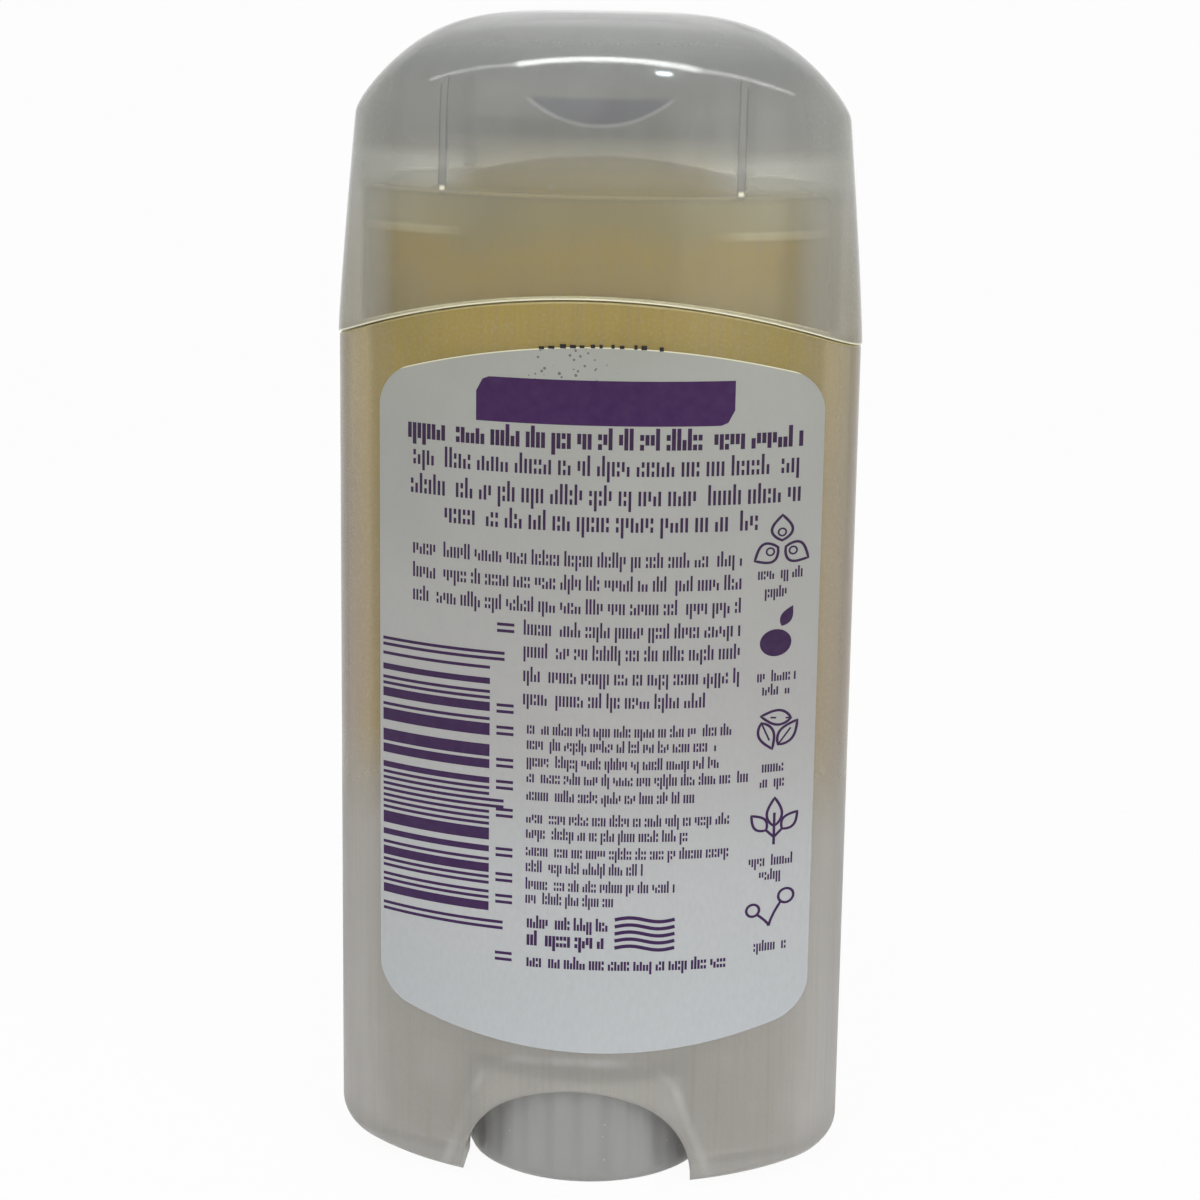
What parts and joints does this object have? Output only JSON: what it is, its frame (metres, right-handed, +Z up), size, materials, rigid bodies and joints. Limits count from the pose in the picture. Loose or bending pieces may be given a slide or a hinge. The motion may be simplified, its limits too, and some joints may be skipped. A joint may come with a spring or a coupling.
{
  "type": "deodorant stick",
  "caption": "Oval twist-up deodorant stick in a clear pack: a ribbed dial turns a feed screw that lifts the gel, under a pull-off domed cap.",
  "frame": {"origin": "middle of the dial's foot, on the surface that the stick stands on", "axes": "+Z up to the cap, +X to the right of the back label as it is read, the back label faces -Y"},
  "size_m": [0.0604, 0.0322, 0.1348],
  "materials": {
    "clear_barrel": "hazy clear polypropylene, satin gloss",
    "clear_cap": "clear polypropylene, high gloss",
    "label_film": "white film, satin",
    "gel": "pale yellow hazy gel, moist sheen",
    "dial_plastic": "hazy natural plastic, satin",
    "elevator_plastic": "hazy natural plastic, satin"
  },
  "bodies": {
    "container": {"barrel": "clear_barrel", "back_label": "label_film"},
    "carriage": {"elevator": "elevator_plastic", "gel_stick": "gel"},
    "dial": {"dial_screw": "dial_plastic"},
    "cap": {"cap": "clear_cap"}
  },
  "joints": [
    {"name": "elevator_lift", "type": "slide", "parent": "container", "child": "carriage", "axis": [0, 0, 1], "range_m": [0, 0.012]},
    {"name": "dial_turn", "type": "hinge", "parent": "container", "child": "dial", "pos_m": [0, 0, 0.014], "axis": [0, 0, 1], "range_deg": [-1085, 0]},
    {"name": "cap_pull", "type": "slide", "parent": "container", "child": "cap", "axis": [0, 0, 1], "range_m": [0, 0.04]}
  ],
  "couplings": [
    {"joint": "dial_turn", "follows": "elevator_lift", "rad_per_m": -1570.8}
  ]
}
